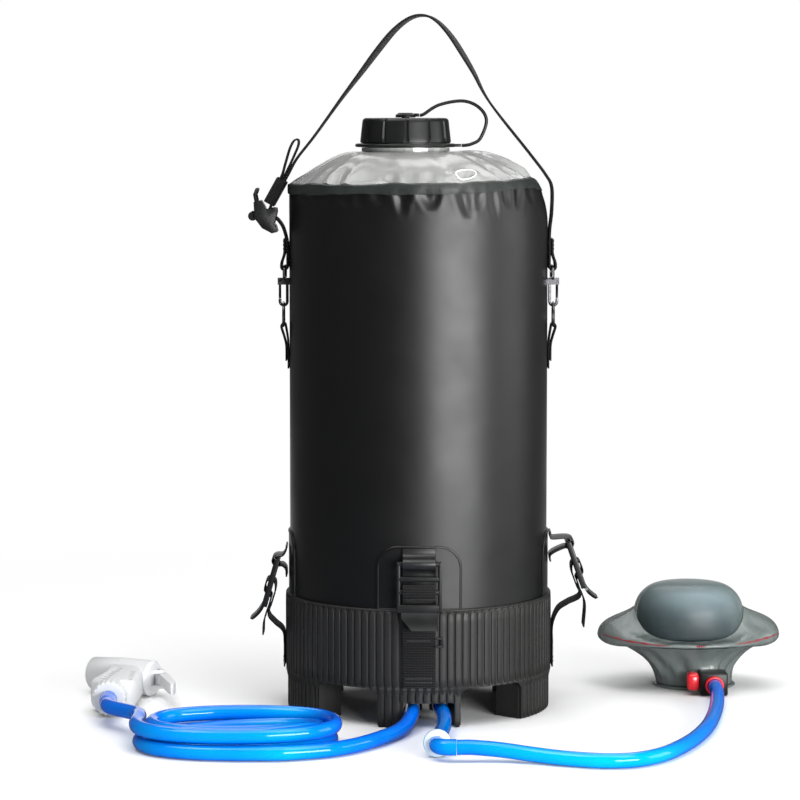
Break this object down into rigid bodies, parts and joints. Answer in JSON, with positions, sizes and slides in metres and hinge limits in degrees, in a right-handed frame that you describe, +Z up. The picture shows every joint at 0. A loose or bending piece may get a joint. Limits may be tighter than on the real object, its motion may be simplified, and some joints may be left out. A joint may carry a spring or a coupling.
{
  "type": "pressure shower bag",
  "caption": "Upright water bag with a clear dome and screw cap in a ribbed base, with a carry strap, a coiled hose with a spray gun, and a foot pump on a second hose.",
  "frame": {"origin": "on the ground, midway between the outermost pieces without the hoses", "axes": "+Z up, the camera side is -Y, +X runs from the spray gun to the foot pump"},
  "size_m": [0.5582, 0.3849, 0.5393],
  "materials": {
    "black_pvc": "glossy welded film",
    "clear_film": "clear soft film",
    "black_plastic": "satin",
    "base_plastic": "satin, ribbed",
    "webbing": "woven",
    "dark_metal": "dark plated",
    "white_plastic": "satin",
    "blue_hose": "clear blue, glossy",
    "milky_plastic": "milky",
    "foam": "foam under film",
    "pump_film": "smoky clear film",
    "red_plastic": "glossy"
  },
  "bodies": {
    "shower": {"bag_body": "black_pvc", "weld_band": "black_pvc", "patch_front": "black_pvc", "patch_back": "black_pvc", "patch_left": "black_pvc", "patch_right": "black_pvc", "dome": "clear_film", "neck": "black_plastic", "tether_ring": "black_plastic", "cap_tether": "black_plastic", "outlet_fitting": "black_plastic", "inlet_fitting": "black_plastic", "buckle_front": "black_plastic", "buckle_back": "black_plastic", "buckle_left": "black_plastic", "buckle_right": "black_plastic", "pump_valve": "black_plastic", "base": "base_plastic", "loop_front": "webbing", "loop_back": "webbing", "loop_left": "webbing", "loop_right": "webbing", "webbing_front": "webbing", "webbing_back": "webbing", "webbing_left": "webbing", "webbing_right": "webbing", "tab_left": "webbing", "tab_right": "webbing", "ring_left": "dark_metal", "ring_right": "dark_metal", "gun_pin": "dark_metal", "gun_head": "white_plastic", "gun_grip": "white_plastic", "shower_hose_lead": "blue_hose", "shower_hose_coil": "blue_hose", "shower_hose_end": "blue_hose", "pump_hose_stub": "blue_hose", "union_elbow": "blue_hose", "pump_hose": "blue_hose", "union_ring": "milky_plastic", "pump_sole": "pump_film", "pump_chamber": "pump_film", "pump_ring": "red_plastic", "pump_tap": "red_plastic"},
    "knob": {"tether_knob": "black_plastic"},
    "cap": {"cap": "black_plastic", "cap_gasket": "black_pvc"},
    "carry_strap": {"strap": "webbing", "strap_adjuster": "black_plastic", "strap_keeper": "webbing", "strap_tail": "webbing", "hook_left": "dark_metal", "hook_right": "dark_metal"},
    "left_gate": {"gate_left": "dark_metal"},
    "right_gate": {"gate_right": "dark_metal"},
    "nozzle": {"gun_nozzle": "white_plastic"},
    "lever": {"gun_lever": "white_plastic"},
    "nut": {"gun_nut": "white_plastic"},
    "pump_top": {"pump_skirt": "pump_film", "pump_dome": "foam"}
  },
  "joints": [
    {"name": "cap_lift", "type": "slide", "parent": "shower", "child": "knob", "axis": [0, 0, 1], "range_m": [0, 0.008], "deforming": ["cap_tether"]},
    {"name": "cap_turn", "type": "hinge", "parent": "knob", "child": "cap", "pos_m": [-0.02342, -0.00767, 0.45], "axis": [0, 0, 1], "range_deg": [0, 720]},
    {"name": "strap_swing", "type": "hinge", "parent": "shower", "child": "carry_strap", "pos_m": [-0.01342, -0.00767, 0.305], "axis": [1, 0, 0], "range_deg": [-60, 60]},
    {"name": "left_gate_open", "type": "hinge", "parent": "carry_strap", "child": "left_gate", "pos_m": [-0.12082, -0.00767, 0.3314], "axis": [0, -1, 0], "range_deg": [0, 12], "stiffness_Nm_per_rad": 0.002, "springref_deg": -17.19},
    {"name": "right_gate_open", "type": "hinge", "parent": "carry_strap", "child": "right_gate", "pos_m": [0.09398, -0.00767, 0.3314], "axis": [0, 1, 0], "range_deg": [0, 12], "stiffness_Nm_per_rad": 0.002, "springref_deg": -17.19},
    {"name": "nozzle_twist", "type": "hinge", "parent": "shower", "child": "nozzle", "pos_m": [-0.22242, 0.01993, 0.0143], "axis": [-0.893, 0.4501, 0], "range_deg": [-90, 90]},
    {"name": "lever_press", "type": "hinge", "parent": "shower", "child": "lever", "pos_m": [-0.21942, 0.01913, 0.0143], "axis": [0, 0, -1], "range_deg": [0, 15], "stiffness_Nm_per_rad": 0.05, "springref_deg": -11.46},
    {"name": "nut_turn", "type": "hinge", "parent": "shower", "child": "nut", "pos_m": [-0.25092, -0.06767, 0.0143], "axis": [0, 1, 0], "range_deg": [0, 360]},
    {"name": "pump_press", "type": "slide", "parent": "shower", "child": "pump_top", "axis": [0, 0, -1], "range_m": [0, 0.018], "stiffness_N_per_m": 800, "springref_m": -0.006, "deforming": ["pump_chamber"]}
  ],
  "couplings": [
    {"joint": "cap_lift", "follows": "cap_turn", "m_per_rad": 0.00063662}
  ]
}
